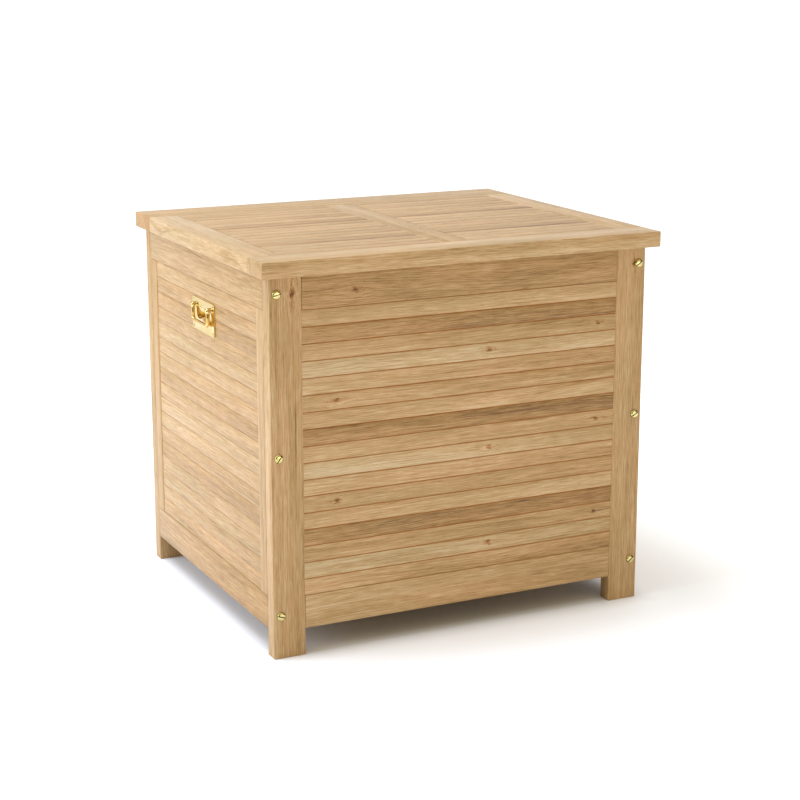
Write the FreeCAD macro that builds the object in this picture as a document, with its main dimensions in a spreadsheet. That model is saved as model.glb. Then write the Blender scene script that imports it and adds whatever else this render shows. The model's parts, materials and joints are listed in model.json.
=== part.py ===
"""Deck storage box: a knock-down slatted teak chest with a hinged lid and brass hardware.

Millimetres, +Z up, +X to the right, the front faces -Y.  The origin is on the ground, midway
across the whole object in X and in Y.
"""
import FreeCAD, Part
import math
import os
import re
import Sketcher

Vector = FreeCAD.Vector
X, Y, Z = Vector(1, 0, 0), Vector(0, 1, 0), Vector(0, 0, 1)

DIMENSIONS = {
    # box body
    "body_width": 658, "body_depth": 562, "rim_height": 600,
    "board": 25, "post_width": 53, "foot_clearance": 43.5, "rail_width": 53.5,
    "stile_width": 27, "easing": 1.2,
    # slats: 17 to each panel and to each field of the lid
    "slat_count": 17, "slat_board": 14, "slat_recess": 1, "slat_gap": 0.4, "slat_bevel": 1.1,
    "batten_count": 3, "batten_width": 40, "batten_inset": 99.5,
    # floor
    "cleat_count": 2, "cleat": 18, "cleat_height": 46, "floor_board": 14, "floor_count": 10,
    "floor_gap": 4, "floor_play": 2,
    # lid
    "lid_board": 25, "lid_front_overhang": 18, "lid_side_overhang": 17, "lid_back_overhang": 2,
    "lid_front_rail": 58, "lid_back_rail": 74, "lid_side_stile": 51, "lid_centre_stile": 50,
    "lid_batten": 23,
    # bolts through the posts, and the barrel nuts they screw into
    "bolt_drop": 27, "bolt_pitch": 252, "bolt_head_radius": 7, "bolt_head": 4,
    "bolt_rim": 1.6, "bolt_crown_radius": 4.6, "bolt_radius": 3, "bolt_length": 46,
    "bolt_play": 0.3, "bolt_slot": 1.6, "nut_radius": 5, "nut_length": 18, "nut_depth": 13.5,
    "nut_play": 0.2,
    # butt hinges
    "hinge_place": 210, "hinge_length": 64, "leaf": 2, "leaf_reach": 26, "leaf_play": 0.3,
    "knuckle_radius": 4, "knuckle_stand": 6.5, "knuckle_play": 0.4, "hinge_pin_radius": 1.75,
    "pin_play": 0.06,
    # wood screws
    "screw_radius": 1.6, "screw_head_radius": 3.4, "screw_head": 2, "screw_play": 0.1,
    "screw_length": 16, "short_screw_length": 9,
    # handles
    "plate_width": 97, "plate_height": 53, "plate": 2.6, "plate_centre_height": 491.5,
    "plate_forward": 3, "plate_screw_inset": 5, "plate_corner": 4, "bail_spacing": 67,
    "bail_drop": 25, "bail_radius": 3.1, "bail_bend": 7, "bail_stand": 4.9,
    "bail_pivot_drop": 12, "boss_radius": 5, "fork_width": 4.4, "fork_height": 3.7,
    "tongue": 3.6, "tongue_length": 5.6, "tongue_inset": 0.3, "eye_radius": 3.4,
    "bail_pin_radius": 1.5, "bail_pin_length": 8.8,
    # lid stays
    "stay_forward": 106, "stay_drop": 220, "stay_lid_forward": 120, "stay_lid_drop": 19,
    "stay_bar": 2.5, "stay_bar_radius": 7, "stay_gap": 0.4, "stay_boss": 1, "stay_boss_radius": 6,
    "stay_pin_radius": 3, "stay_pin_play": 0.08, "elbow_play": 0.3, "stay_rivet_head": 1.5,
    "stay_rivet_head_radius": 5, "bracket": 2, "bracket_width": 24, "bracket_height": 52,
    "bracket_screw_reach": 17.3, "flange_width": 21, "flange_length": 44,
    "flange_screw_reach": 13.2,
    # how far a cut runs past the face it opens
    "overcut": 1,
}

doc = FreeCAD.newDocument("DeckStorageBox")
sheet = doc.addObject("Spreadsheet::Sheet", "Dimensions")
for row, (alias, size) in enumerate(DIMENSIONS.items(), start=1):
    sheet.set("A%d" % row, alias.replace("_", " "))
    sheet.set("B%d" % row, str(size))
    sheet.setAlias("B%d" % row, alias)
doc.recompute()

parts = []


# --- formulas ---------------------------------------------------------------------------------

def formula(text):
    """A formula in the names of the dimensions, ready for setExpression."""
    def full_name(word):
        name = word.group()
        return "Dimensions." + name if name in DIMENSIONS else name
    return re.sub(r"[a-z_]+", full_name, str(text))


def value(text):
    """What a formula comes to at the present dimensions."""
    answer = sheet.evalExpression(formula(text))
    return float(getattr(answer, "Value", answer))


def bind(item, **sizes):
    for size, text in sizes.items():
        item.setExpression(size, formula(text))


def bind_position(item, position):
    for axis, text in zip("xyz", position):
        item.setExpression("Placement.Base." + axis, formula(text))


def turned_to(direction):
    """The rotation that lays a primitive's own +Z along a direction."""
    return FreeCAD.Rotation(Z, direction)


# --- features ---------------------------------------------------------------------------------

def new_part(label, corner=("0", "0", "0"), rotation=None):
    """An empty body with its label and place, kept for export."""
    body = doc.addObject("PartDesign::Body", label)
    body.Label = label
    body.AllowCompound = True
    if rotation:
        body.Placement.Rotation = rotation
    bind_position(body, corner)
    parts.append(body)
    return body


def primitive(body, kind, position, direction=Z, **sizes):
    """One additive or subtractive primitive, in the body's own axes."""
    item = body.newObject("PartDesign::" + kind, kind)
    bind(item, **sizes)
    item.Placement.Rotation = turned_to(direction)
    bind_position(item, position)
    body.Tip = item
    return item


def block(body, low, size, cut=False):
    kind = "SubtractiveBox" if cut else "AdditiveBox"
    return primitive(body, kind, low, Length=size[0], Width=size[1], Height=size[2])


def rod(body, start, direction, radius, length, cut=False):
    kind = "SubtractiveCylinder" if cut else "AdditiveCylinder"
    return primitive(body, kind, start, direction, Radius=radius, Height=length)


def taper(body, start, direction, radius, end_radius, length, cut=False):
    kind = "SubtractiveCone" if cut else "AdditiveCone"
    return primitive(body, kind, start, direction, Radius1=radius, Radius2=end_radius,
                     Height=length)


def origin_plane(body, role):
    for feature in body.Origin.OriginFeatures:
        if feature.Role == role:
            return feature


def outline(body, corners):
    """A closed sketch on the body's XY plane; every corner is held by two bound distances."""
    sketch = body.newObject("Sketcher::SketchObject", "Outline")
    sketch.AttachmentSupport = [(origin_plane(body, "XY_Plane"), "")]
    sketch.MapMode = "FlatFace"
    points = [Vector(value(across), value(up), 0) for across, up in corners]
    for start, end in zip(points, points[1:] + points[:1]):
        sketch.addGeometry(Part.LineSegment(start, end))
    for side in range(len(points)):
        following = (side + 1) % len(points)
        sketch.addConstraint(Sketcher.Constraint("Coincident", side, 2, following, 1))
    for corner, place in enumerate(corners):
        for kind, text in zip(("DistanceX", "DistanceY"), place):
            held = sketch.addConstraint(
                Sketcher.Constraint(kind, -1, 1, corner, 1, value(text)))
            sketch.setExpression("Constraints[%d]" % held, formula(text))
    return sketch


def padded(body, corners, length):
    pad = body.newObject("PartDesign::Pad", "Pad")
    pad.Profile = outline(body, corners)
    bind(pad, Length=length)
    doc.recompute()
    return pad


def eased(body, feature, size="easing"):
    """A small chamfer on every edge of a feature."""
    chamfer = body.newObject("PartDesign::Chamfer", "Easing")
    chamfer.Base = (feature, [""])
    chamfer.UseAllEdges = True
    bind(chamfer, Size=size)
    return chamfer


def repeated(body, feature, count, span, axis="X_Axis"):
    """A feature repeated along one of the body's axes; span is from the first to the last."""
    pattern = body.newObject("PartDesign::LinearPattern", "Repeat")
    pattern.Originals = [feature]
    pattern.Direction = (origin_plane(body, axis), [""])
    bind(pattern, Occurrences=count, Length=span)
    body.Tip = pattern
    return pattern


def board(label, corner, size):
    """A planed board with eased edges, from its lowest corner."""
    body = new_part(label, corner)
    width, depth, height = size
    corners = [("0", "0"), (width, "0"), (width, depth), ("0", depth)]
    eased(body, padded(body, corners, height))
    return body


def board_row(label, corner, size, count, step, axis):
    """Equal boards side by side, each a solid of its own."""
    body = new_part(label, corner)
    width, depth, height = size
    corners = [("0", "0"), (width, "0"), (width, depth), ("0", depth)]
    pad = padded(body, corners, height)
    repeated(body, pad, count, "(%s) * ((%s) - 1)" % (step, count), axis)
    return body


def slat_field(label, corner, across, outwards, length, span):
    """Slats side by side: across is the way they repeat, outwards the way they face.

    Each slat has bevelled outer edges, so two neighbours leave a V-shaped groove.
    """
    rotation = FreeCAD.Rotation(across, outwards, across.cross(outwards), "XYZ")
    body = new_part(label, corner, rotation)
    width = "((%s) / slat_count - slat_gap)" % span
    corners = [("0", "0"), (width, "0"), (width, "slat_board - slat_bevel"),
               ("%s - slat_bevel" % width, "slat_board"), ("slat_bevel", "slat_board"),
               ("0", "slat_board - slat_bevel")]
    pad = padded(body, corners, length)
    repeated(body, pad, "slat_count", "(%s) / slat_count * (slat_count - 1)" % span)
    return body


# --- places shared by many parts ----------------------------------------------------------------

LEFT = "-body_width / 2"
RIGHT = "body_width / 2"
FRONT = "(lid_front_overhang - body_depth - knuckle_stand - knuckle_radius) / 2"
BACK = FRONT + " + body_depth"
HINGE_Y = BACK + " + knuckle_stand"
RIM = "rim_height"
SLATS_LOW = "foot_clearance + rail_width"
SLATS_HIGH = "rim_height - rail_width"
SLATS_SPAN = "(rim_height - 2 * rail_width - foot_clearance)"
RAIL_LENGTH = "body_width - 2 * post_width"
SIDE_LENGTH = "body_depth - 2 * board"
SIDES = (("left", -1), ("right", 1))


def low_x(sign, near, width):
    """The lowest X of something from near to near + width away from the middle plane."""
    return near if sign > 0 else "-(%s) - (%s)" % (near, width)


def bolt_heights():
    return ["rim_height - bolt_drop - %d * bolt_pitch" % row for row in range(3)]


# --- box body -----------------------------------------------------------------------------------

def make_posts():
    """Four legs, each with three bolt holes through its thickness."""
    for face, near in (("front", FRONT), ("back", BACK + " - board")):
        for side, sign in SIDES:
            corner_x = LEFT if sign < 0 else RIGHT + " - post_width"
            post = board("%s_%s_post" % (face, side), (corner_x, near, "0"),
                         ("post_width", "board", "rim_height"))
            hole_x = "board / 2" if sign < 0 else "post_width - board / 2"
            for height in bolt_heights():
                rod(post, (hole_x, "-overcut", height), Y, "bolt_radius + bolt_play",
                    "board + 2 * overcut", cut=True)


def make_front_and_back_panels():
    rail = (RAIL_LENGTH, "board", "rail_width")
    rail_x = LEFT + " + post_width"
    for face, near in (("front", FRONT), ("back", BACK + " - board")):
        top = board(face + "_top_rail", (rail_x, near, SLATS_HIGH), rail)
        board(face + "_bottom_rail", (rail_x, near, "foot_clearance"), rail)
        if face == "back":
            cut_leaf_seats(top, LEFT + " + post_width", near, "rail_width - leaf")
            drill_leaf_screws(top, LEFT + " + post_width", near, "rail_width", -1)
    slat_field("front_slats", (rail_x, FRONT + " + slat_recess + slat_board", SLATS_LOW),
               Z, -Y, RAIL_LENGTH, SLATS_SPAN)
    slat_field("back_slats", (RIGHT + " - post_width", BACK + " - slat_recess - slat_board",
                              SLATS_LOW), Z, Y, RAIL_LENGTH, SLATS_SPAN)
    batten = ("batten_width", "board - slat_recess - slat_board", SLATS_SPAN)
    first = LEFT + " + batten_inset - batten_width / 2"
    step = "body_width / 2 - batten_inset"
    board_row("front_battens", (first, FRONT + " + slat_recess + slat_board", SLATS_LOW),
              batten, "batten_count", step, "X_Axis")
    board_row("back_battens", (first, BACK + " - board", SLATS_LOW), batten, "batten_count",
              step, "X_Axis")


def drill_for_bolt(piece, length, at_front, height, sign):
    """A bolt hole along Y from one end of a side-panel piece, and its barrel-nut bore."""
    start = "-overcut" if at_front else "(%s) + overcut" % length
    way = Y if at_front else -Y
    nut_y = "nut_depth" if at_front else "(%s) - nut_depth" % length
    rod(piece, ("board / 2", start, height), way, "bolt_radius + bolt_play",
        "bolt_length - board + 2 * overcut", cut=True)
    inner = "board + overcut" if sign < 0 else "-overcut"
    rod(piece, (inner, nut_y, height), X * sign, "nut_radius + nut_play",
        "nut_length + 4 * overcut", cut=True)


def make_side_panels():
    rail = ("board", SIDE_LENGTH, "rail_width")
    rail_y = FRONT + " + board"
    for side, sign in SIDES:
        panel_x = low_x(sign, RIGHT + " - board", "board")
        heights = bolt_heights()
        top = board(side + "_top_rail", (panel_x, rail_y, SLATS_HIGH), rail)
        bottom = board(side + "_bottom_rail", (panel_x, rail_y, "foot_clearance"), rail)
        for at_front in (True, False):
            drill_for_bolt(top, SIDE_LENGTH, at_front, "(%s) - (%s)" % (heights[0], SLATS_HIGH),
                           sign)
            drill_for_bolt(bottom, SIDE_LENGTH, at_front,
                           "(%s) - foot_clearance" % heights[2], sign)
            end = "front" if at_front else "back"
            stile_y = rail_y if at_front else BACK + " - board - stile_width"
            stile = board("%s_%s_stile" % (side, end), (panel_x, stile_y, SLATS_LOW),
                          ("board", "stile_width", SLATS_SPAN))
            drill_for_bolt(stile, "stile_width", at_front,
                           "(%s) - (%s)" % (heights[1], SLATS_LOW), sign)
        make_side_slats(side, sign)


def make_side_slats(side, sign):
    length = SIDE_LENGTH + " - 2 * stile_width"
    face_x = LEFT + " + slat_recess" if sign < 0 else RIGHT + " - slat_recess"
    inner_x = "%s + slat_board" % face_x if sign < 0 else "%s - slat_board" % face_x
    start_y = BACK + " - board - stile_width" if sign < 0 else FRONT + " + board + stile_width"
    slats = slat_field(side + "_slats", (inner_x, start_y, SLATS_LOW), Z, X * sign, length,
                       SLATS_SPAN)
    for along, height in plate_screw_places():
        hole = ("(%s) - (%s)" % (height, SLATS_LOW), "slat_board + overcut",
                "(%s) / 2 + (%s) - plate_forward * %d" % (length, along, sign))
        rod(slats, hole, -Y, "screw_radius + screw_play", "short_screw_length + overcut",
            cut=True)
    batten_x = inner_x if sign < 0 else RIGHT + " - board"
    board_row(side + "_battens",
              (batten_x, FRONT + " + batten_inset - batten_width / 2", SLATS_LOW),
              ("board - slat_recess - slat_board", "batten_width", SLATS_SPAN),
              "batten_count", "body_depth / 2 - batten_inset", "Y_Axis")


def make_floor():
    """Drained floor boards, front to back, lying on two cleats."""
    room = "(body_width - 2 * board - 2 * floor_play)"
    board_row("floor_cleats", (LEFT + " + board + floor_play", FRONT + " + board", "cleat_height"),
              (room, "cleat", "cleat"), "cleat_count", "body_depth - 2 * board - cleat", "Y_Axis")
    width = "(%s - (floor_count - 1) * floor_gap) / floor_count" % room
    board_row("floor_boards", (LEFT + " + board + floor_play", FRONT + " + board + floor_play",
                               "cleat_height + cleat"),
              (width, "body_depth - 2 * board - 2 * floor_play", "floor_board"),
              "floor_count", "(%s) + floor_gap" % width, "X_Axis")


# --- lid ----------------------------------------------------------------------------------------

LID_LEFT = LEFT + " - lid_side_overhang"
LID_FRONT = FRONT + " - lid_front_overhang"
LID_BACK = BACK + " + lid_back_overhang"
LID_WIDTH = "(body_width + 2 * lid_side_overhang)"
FIELD_FRONT = LID_FRONT + " + lid_front_rail"
FIELD_DEPTH = ("(body_depth + lid_front_overhang + lid_back_overhang - lid_front_rail - "
               "lid_back_rail)")
FIELD_WIDTH = "(%s - 2 * lid_side_stile - lid_centre_stile) / 2" % LID_WIDTH


def make_lid_frame():
    board("lid_front_rail", (LID_LEFT, LID_FRONT, RIM), (LID_WIDTH, "lid_front_rail", "lid_board"))
    back = board("lid_back_rail", (LID_LEFT, LID_BACK + " - lid_back_rail", RIM),
                 (LID_WIDTH, "lid_back_rail", "lid_board"))
    cut_leaf_seats(back, LID_LEFT, LID_BACK + " - lid_back_rail", "-overcut")
    drill_leaf_screws(back, LID_LEFT, LID_BACK + " - lid_back_rail", "0", 1)
    stiles = (("left", LID_LEFT, "lid_side_stile"),
              ("centre", "-lid_centre_stile / 2", "lid_centre_stile"),
              ("right", "-(%s) - lid_side_stile" % LID_LEFT, "lid_side_stile"))
    for name, start, width in stiles:
        board("lid_%s_stile" % name, (start, FIELD_FRONT, RIM), (width, FIELD_DEPTH, "lid_board"))


def make_lid_slats():
    """Two fields of slats, flush on top, on battens that are flush beneath."""
    underside = RIM + " + lid_board - slat_board"
    for side, start in (("left", LID_LEFT + " + lid_side_stile"),
                        ("right", "lid_centre_stile / 2")):
        slat_field("lid_%s_slats" % side, (start, FIELD_FRONT, underside), Y, Z, FIELD_WIDTH,
                   FIELD_DEPTH)


def make_lid_battens():
    """Four battens under the ends of the lid's slats."""
    body = new_part("lid_battens")
    starts = (LID_LEFT + " + lid_side_stile", "-lid_centre_stile / 2 - lid_batten",
              "lid_centre_stile / 2", "-(%s) - lid_side_stile - lid_batten" % LID_LEFT)
    for start in starts:
        block(body, (start, FIELD_FRONT, RIM),
              ("lid_batten", FIELD_DEPTH, "lid_board - slat_board"))
    for side, sign in SIDES:
        for x_place, y_place in flange_screw_places(sign):
            rod(body, (x_place, y_place, RIM + " - overcut"), Z, "screw_radius + screw_play",
                "short_screw_length + 2 * overcut", cut=True)


# --- butt hinges --------------------------------------------------------------------------------

KNUCKLES = 5
LEAF_SCREWS = ((-1, 0.5), (0, 0.66), (1, 0.5))    # thirds of a leaf's length, share of its reach


def hinge_centres():
    return ["-hinge_place", "hinge_place"]


def cut_leaf_seats(rail, rail_x, rail_y, seat_z):
    """The shallow seats that let the hinge leaves in flush."""
    for centre in hinge_centres():
        block(rail, ("(%s) - hinge_length / 2 - leaf_play - (%s)" % (centre, rail_x),
                     "(%s) - leaf_reach - leaf_play - (%s)" % (HINGE_Y, rail_y), seat_z),
              ("hinge_length + 2 * leaf_play", "leaf_reach + 2 * leaf_play",
               "leaf + overcut"), cut=True)


def leaf_screw_places():
    """Three countersunk screws to a leaf, from the hinge's middle and its pin."""
    return [("%d * hinge_length / 3" % place, "-leaf_reach * %s" % reach)
            for place, reach in LEAF_SCREWS]


def drill_leaf_screws(rail, rail_x, rail_y, face_z, sign):
    for centre in hinge_centres():
        for across, back in leaf_screw_places():
            rod(rail, ("(%s) + (%s) - (%s)" % (centre, across, rail_x),
                       "(%s) + (%s) - (%s)" % (HINGE_Y, back, rail_y), face_z),
                Z * sign, "screw_radius + screw_play", "screw_length + 2 * overcut", cut=True)


def hinge_leaf(label, centre, sign, knuckle_parity):
    """One leaf: a plate above (sign 1) or below (sign -1) the joint, and its knuckles."""
    body = new_part(label, (centre, HINGE_Y, RIM))
    half = "hinge_length / 2"
    rod(body, ("-" + half, "0", "0"), X, "knuckle_radius", "hinge_length")
    block(body, ("-" + half, "-leaf_reach", "0" if sign > 0 else "-leaf"),
          ("hinge_length", "leaf_reach - hinge_pin_radius", "leaf"))
    pitch = "hinge_length / %d" % KNUCKLES
    reach = "(knuckle_radius + knuckle_play)"
    for knuckle in range(KNUCKLES):
        if knuckle % 2 != knuckle_parity:
            gap_x = "%d * %s - %s - knuckle_play / 2" % (knuckle, pitch, half)
            block(body, (gap_x, "-" + reach, "-" + reach),
                  (pitch + " + knuckle_play", "2 * " + reach, "2 * " + reach), cut=True)
    rod(body, ("-hinge_length", "0", "0"), X, "hinge_pin_radius + pin_play",
        "2 * hinge_length", cut=True)
    for across, back in leaf_screw_places():
        rod(body, (across, back, "-leaf - overcut"), Z, "screw_radius + screw_play",
            "2 * leaf + 2 * overcut", cut=True)
        taper(body, (across, back, "0"), Z * sign, "screw_head_radius + screw_play",
              "screw_radius + screw_play", "screw_head", cut=True)
    return body


def screw(body, place, direction, length):
    """A countersunk wood screw whose flat head lies at place; direction is the way it drives."""
    taper(body, place, direction, "screw_head_radius", "screw_radius", "screw_head")
    rod(body, place, direction, "screw_radius", length)


def make_hinges():
    pins = new_part("hinge_pins", ("0", HINGE_Y, RIM))
    box_screws = new_part("hinge_box_screws", ("0", HINGE_Y, RIM))
    lid_screws = new_part("hinge_lid_screws", ("0", HINGE_Y, RIM))
    for side, centre in zip(("left", "right"), hinge_centres()):
        hinge_leaf(side + "_hinge_box_leaf", centre, -1, 0)
        hinge_leaf(side + "_hinge_lid_leaf", centre, 1, 1)
        rod(pins, (centre + " - hinge_length / 2", "0", "0"), X, "hinge_pin_radius",
            "hinge_length")
        for across, back in leaf_screw_places():
            place = ("(%s) + (%s)" % (centre, across), back, "0")
            screw(box_screws, place, -Z, "screw_length")
            screw(lid_screws, place, Z, "screw_length")


# --- bolts and barrel nuts ----------------------------------------------------------------------

def make_bolts():
    bolts = new_part("panel_bolts")
    nuts = new_part("barrel_nuts")
    for side, sign in SIDES:
        across = "(body_width / 2 - board / 2) * %d" % sign
        for face_y, way in ((FRONT, 1), (BACK, -1)):
            for height in bolt_heights():
                place = (across, face_y, height)
                rod(bolts, place, Y * -way, "bolt_head_radius", "bolt_rim")
                taper(bolts, (across, "%s - bolt_rim * %d" % (face_y, way), height), Y * -way,
                      "bolt_head_radius", "bolt_crown_radius", "bolt_head - bolt_rim")
                rod(bolts, place, Y * way, "bolt_radius", "bolt_length")
                slot_y = "%s - bolt_head * %d" % (face_y, way)
                if way < 0:
                    slot_y += " - bolt_slot"
                block(bolts, ("%s - bolt_head_radius" % across, slot_y,
                              "%s - bolt_slot / 2" % height),
                      ("2 * bolt_head_radius", "bolt_slot", "bolt_slot"), cut=True)
                nut_y = "%s + (board + nut_depth) * %d" % (face_y, way)
                nut_x = "(body_width / 2 - board) * %d" % sign
                rod(nuts, (nut_x, nut_y, height), X * sign, "nut_radius", "nut_length")
                rod(nuts, (across, "%s - 2 * nut_radius * %d" % (nut_y, way), height), Y * way,
                    "bolt_radius + pin_play", "4 * nut_radius", cut=True)


# --- handles ------------------------------------------------------------------------------------

PLATE_Y = "(%s) + body_depth / 2 - plate_forward" % FRONT
PIVOT_Z = "plate_centre_height + plate_height / 2 - bail_pivot_drop"
PLATE_BACK = "body_width / 2 - slat_recess"
PLATE_FACE = PLATE_BACK + " + plate"
PIVOT_OUT = PLATE_FACE + " + bail_stand"


def plate_screw_places():
    """Four places: along Y from the plate's middle, and height."""
    return [("%d * (plate_width / 2 - plate_screw_inset)" % along,
             "plate_centre_height + %d * (plate_height / 2 - plate_screw_inset)" % up)
            for along in (-1, 1) for up in (-1, 1)]


def round_plate_corners(body, plate):
    """The four short edges through the plate's thickness get the corner radius."""
    doc.recompute()
    edges = []
    for number, edge in enumerate(plate.Shape.Edges, start=1):
        span = edge.BoundBox
        if span.YLength < 1e-6 and span.ZLength < 1e-6:
            edges.append("Edge%d" % number)
    fillet = body.newObject("PartDesign::Fillet", "Corners")
    fillet.Base = (plate, edges)
    bind(fillet, Radius="plate_corner")


def forked_boss(body, sign, along):
    """A round-ended boss with a fork open below and in front, and the pin across the fork."""
    pivot = ("(%s) * %d" % (PIVOT_OUT, sign), along, PIVOT_Z)
    rod(body, ("(%s) * %d" % (PLATE_BACK, sign), along, PIVOT_Z), X * sign, "boss_radius",
        "plate + bail_stand")
    primitive(body, "AdditiveSphere", pivot, Radius="boss_radius")
    block(body, (low_x(sign, PIVOT_OUT + " - fork_height", "fork_height + 2 * boss_radius"),
                 "%s - fork_width / 2" % along, PIVOT_Z + " - 2 * boss_radius"),
          ("fork_height + 2 * boss_radius", "fork_width", "fork_height + 2 * boss_radius"),
          cut=True)
    rod(body, (pivot[0], "%s - bail_pin_length / 2" % along, PIVOT_Z), Y, "bail_pin_radius",
        "bail_pin_length")


def handle_plate(side, sign):
    """The backplate with its two forked bosses and countersunk screw holes."""
    body = new_part(side + "_handle_plate", ("0", PLATE_Y, "0"))
    plate = block(body, (low_x(sign, PLATE_BACK, "plate"), "-plate_width / 2",
                         "plate_centre_height - plate_height / 2"),
                  ("plate", "plate_width", "plate_height"))
    round_plate_corners(body, plate)
    for way in (-1, 1):
        forked_boss(body, sign, "%d * bail_spacing / 2" % way)
    for along, height in plate_screw_places():
        rod(body, ("(%s + overcut) * %d" % (PLATE_FACE, sign), along, height), X * -sign,
            "screw_radius + screw_play", "plate + 2 * overcut", cut=True)
        taper(body, ("(%s) * %d" % (PLATE_FACE, sign), along, height), X * -sign,
              "screw_head_radius + screw_play", "screw_radius + screw_play", "screw_head",
              cut=True)


def bail_path(body):
    """The rod's centre line in the body's YZ plane: down, across and up, with round corners."""
    path = body.newObject("Sketcher::SketchObject", "Path")
    path.AttachmentSupport = [(origin_plane(body, "YZ_Plane"), "")]
    path.MapMode = "FlatFace"
    half, drop, bend = value("bail_spacing / 2"), value("bail_drop"), value("bail_bend")
    top = value("-tongue_length")
    corner_centres = [Vector(-half + bend, bend - drop, 0), Vector(half - bend, bend - drop, 0)]
    quarter = math.pi / 2
    for piece in (
            Part.LineSegment(Vector(-half, top, 0), Vector(-half, bend - drop, 0)),
            Part.ArcOfCircle(Part.Circle(corner_centres[0], Z, bend), 2 * quarter, 3 * quarter),
            Part.LineSegment(Vector(-half + bend, -drop, 0), Vector(half - bend, -drop, 0)),
            Part.ArcOfCircle(Part.Circle(corner_centres[1], Z, bend), 3 * quarter, 4 * quarter),
            Part.LineSegment(Vector(half, bend - drop, 0), Vector(half, top, 0))):
        path.addGeometry(piece)
    for first, second in ((0, 1), (1, 2), (2, 3), (3, 4)):
        path.addConstraint(Sketcher.Constraint("Tangent", first, 2, second, 1))
    bound = ((("DistanceX", -1, 1, 0, 1), "-bail_spacing / 2"),
             (("DistanceY", -1, 1, 0, 1), "-tongue_length"),
             (("DistanceX", -1, 1, 4, 2), "bail_spacing / 2"),
             (("DistanceY", -1, 1, 4, 2), "-tongue_length"),
             (("DistanceY", -1, 1, 2, 1), "-bail_drop"), (("Radius", 1), "bail_bend"),
             (("Radius", 3), "bail_bend"))
    for constraint, text in bound:
        held = path.addConstraint(Sketcher.Constraint(*constraint, value(text)))
        path.setExpression("Constraints[%d]" % held, formula(text))
    for side in (0, 4):
        path.addConstraint(Sketcher.Constraint("Vertical", side))
    path.addConstraint(Sketcher.Constraint("Horizontal", 2))
    return path


def bend_rod(body):
    """A round rod swept along the bail's path."""
    section = body.newObject("Sketcher::SketchObject", "Section")
    section.AttachmentSupport = [(origin_plane(body, "XY_Plane"), "")]
    section.MapMode = "FlatFace"
    section.setExpression("AttachmentOffset.Base.z", formula("-tongue_length"))
    centre = Vector(0, value("-bail_spacing / 2"), 0)
    section.addGeometry(Part.Circle(centre, Z, value("bail_radius")))
    section.addConstraint(Sketcher.Constraint("Radius", 0, value("bail_radius")))
    section.setExpression("Constraints[0]", formula("bail_radius"))
    section.addConstraint(Sketcher.Constraint("DistanceX", -1, 1, 0, 3, 0))
    section.addConstraint(Sketcher.Constraint("DistanceY", -1, 1, 0, 3, centre.y))
    section.setExpression("Constraints[2]", formula("-bail_spacing / 2"))
    sweep = body.newObject("PartDesign::AdditivePipe", "Sweep")
    sweep.Profile = section
    sweep.Spine = (bail_path(body), [])
    doc.recompute()
    body.Tip = sweep


def handle_bail(side, sign):
    """The drop bail: a bent rod; a flat tongue with an eye at the top of each leg."""
    body = new_part(side + "_handle_bail", ("(%s) * %d" % (PIVOT_OUT, sign), PLATE_Y, PIVOT_Z))
    bend_rod(body)
    for way in (-1, 1):
        near = "bail_spacing / 2 * %d - tongue / 2" % way
        block(body, ("tongue_inset - bail_radius", near, "-tongue_length - overcut"),
              ("2 * bail_radius - 2 * tongue_inset", "tongue", "tongue_length + overcut"))
        rod(body, ("0", near, "0"), Y, "eye_radius", "tongue")
    rod(body, ("0", "-bail_spacing", "0"), Y, "bail_pin_radius + pin_play",
        "2 * bail_spacing", cut=True)


def make_handles():
    for side, sign in SIDES:
        handle_plate(side, sign)
        handle_bail(side, sign)
        screws = new_part(side + "_handle_screws", ("0", PLATE_Y, "0"))
        for along, height in plate_screw_places():
            screw(screws, ("(%s) * %d" % (PLATE_FACE, sign), along, height), X * -sign,
                  "short_screw_length")


# --- folding lid stays --------------------------------------------------------------------------
# The two arms and the lines from the lid's pin to their fixed pivots form a parallelogram, so
# the lower arm turns with the lid and the upper arm stays parallel to the line pin-to-bracket.

INNER = "(body_width / 2 - board)"
LOWER_ARM = INNER + " - bracket - stay_boss - stay_gap / 2"
UPPER_ARM = LOWER_ARM + " - stay_bar - stay_gap"
LID_TAB = UPPER_ARM + " - stay_bar - stay_gap"
BOX_PIVOT = (HINGE_Y + " - stay_forward", RIM + " - stay_drop")
LID_PIVOT = (HINGE_Y + " - stay_lid_forward", RIM + " - stay_lid_drop")
ELBOW = (HINGE_Y + " - stay_forward - stay_lid_forward", RIM + " - stay_drop - stay_lid_drop")


def flange_screw_places(sign):
    middle = "(%s - bracket - (flange_width - bracket) / 2) * %d" % (LID_TAB, sign)
    return [(middle, "%s + flange_screw_reach * %d" % (LID_PIVOT[0], along))
            for along in (1, -1)]


def bracket_screw_heights():
    """The two screws of a box bracket, from its pivot."""
    return ["bracket_screw_reach * %d" % up for up in (-1, 1)]


def stay_arm(label, sign, outer_face, pivot, forward, drop):
    """A flat bar from pivot, going forward and down, with round ends; local X is its length."""
    along = Vector(0, -value(forward), -value(drop)).normalize()
    through = X * -sign
    rotation = FreeCAD.Rotation(along, through.cross(along), through, "XYZ")
    body = new_part(label, ("(%s) * %d" % (outer_face, sign), pivot[0], pivot[1]), rotation)
    length = "sqrt((%s)^2 + (%s)^2)" % (forward, drop)
    block(body, ("0", "-stay_bar_radius", "0"), (length, "2 * stay_bar_radius", "stay_bar"))
    for end in ("0", length):
        rod(body, (end, "0", "0"), Z, "stay_bar_radius", "stay_bar")
    return body, length


def stay_hole(body, place, play):
    rod(body, (place, "0", "-overcut"), Z, "stay_pin_radius + %s" % play,
        "stay_bar + 2 * overcut", cut=True)


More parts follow.
